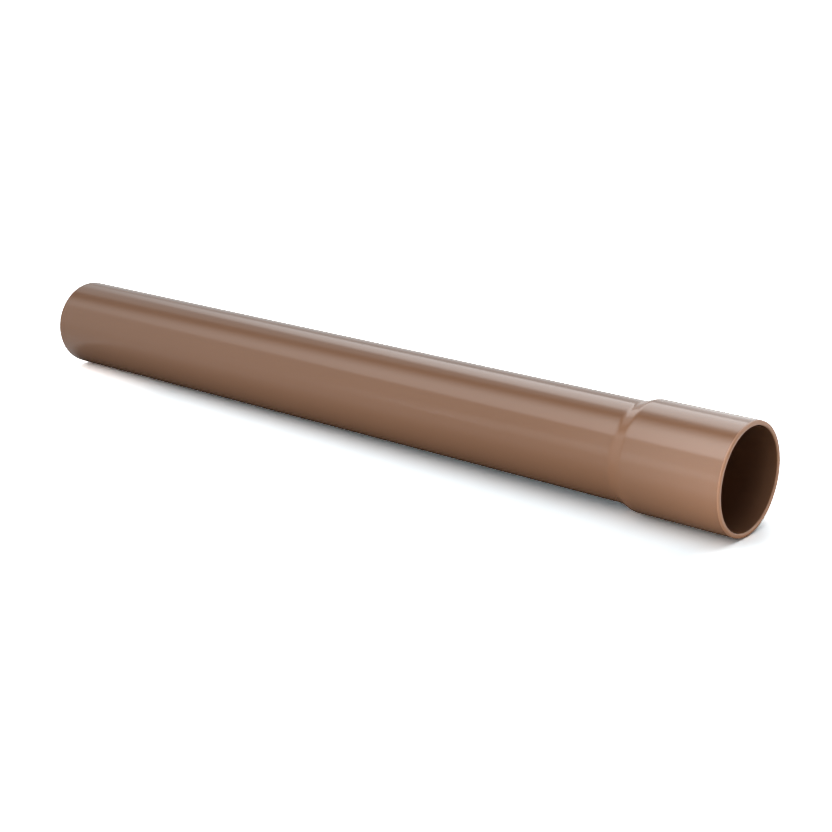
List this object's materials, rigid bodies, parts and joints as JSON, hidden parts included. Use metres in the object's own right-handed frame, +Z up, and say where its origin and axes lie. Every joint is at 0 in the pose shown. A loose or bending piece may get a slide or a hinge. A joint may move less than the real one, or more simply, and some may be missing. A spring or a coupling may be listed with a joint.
{
  "type": "pvc water pipe",
  "caption": "Round brown rigid plastic water pipe with a plain spigot end and a formed socket with a short shoulder, for gluing end to end in cold water lines.",
  "frame": {"origin": "on the floor, under the middle of the pipe as it lies", "axes": "+X along the pipe from the plain spigot end towards the socket mouth, +Z up. The pipe rests on the lower edge of its spigot and on its wider bell, so its axis rises by about 0.34 degrees towards the mouth."},
  "size_m": [0.4702, 0.055, 0.0553],
  "materials": {
    "pvc": "smooth extruded rigid PVC, coffee brown, semi-gloss"
  },
  "bodies": {
    "root": {"pipe": "pvc"}
  },
  "joints": []
}
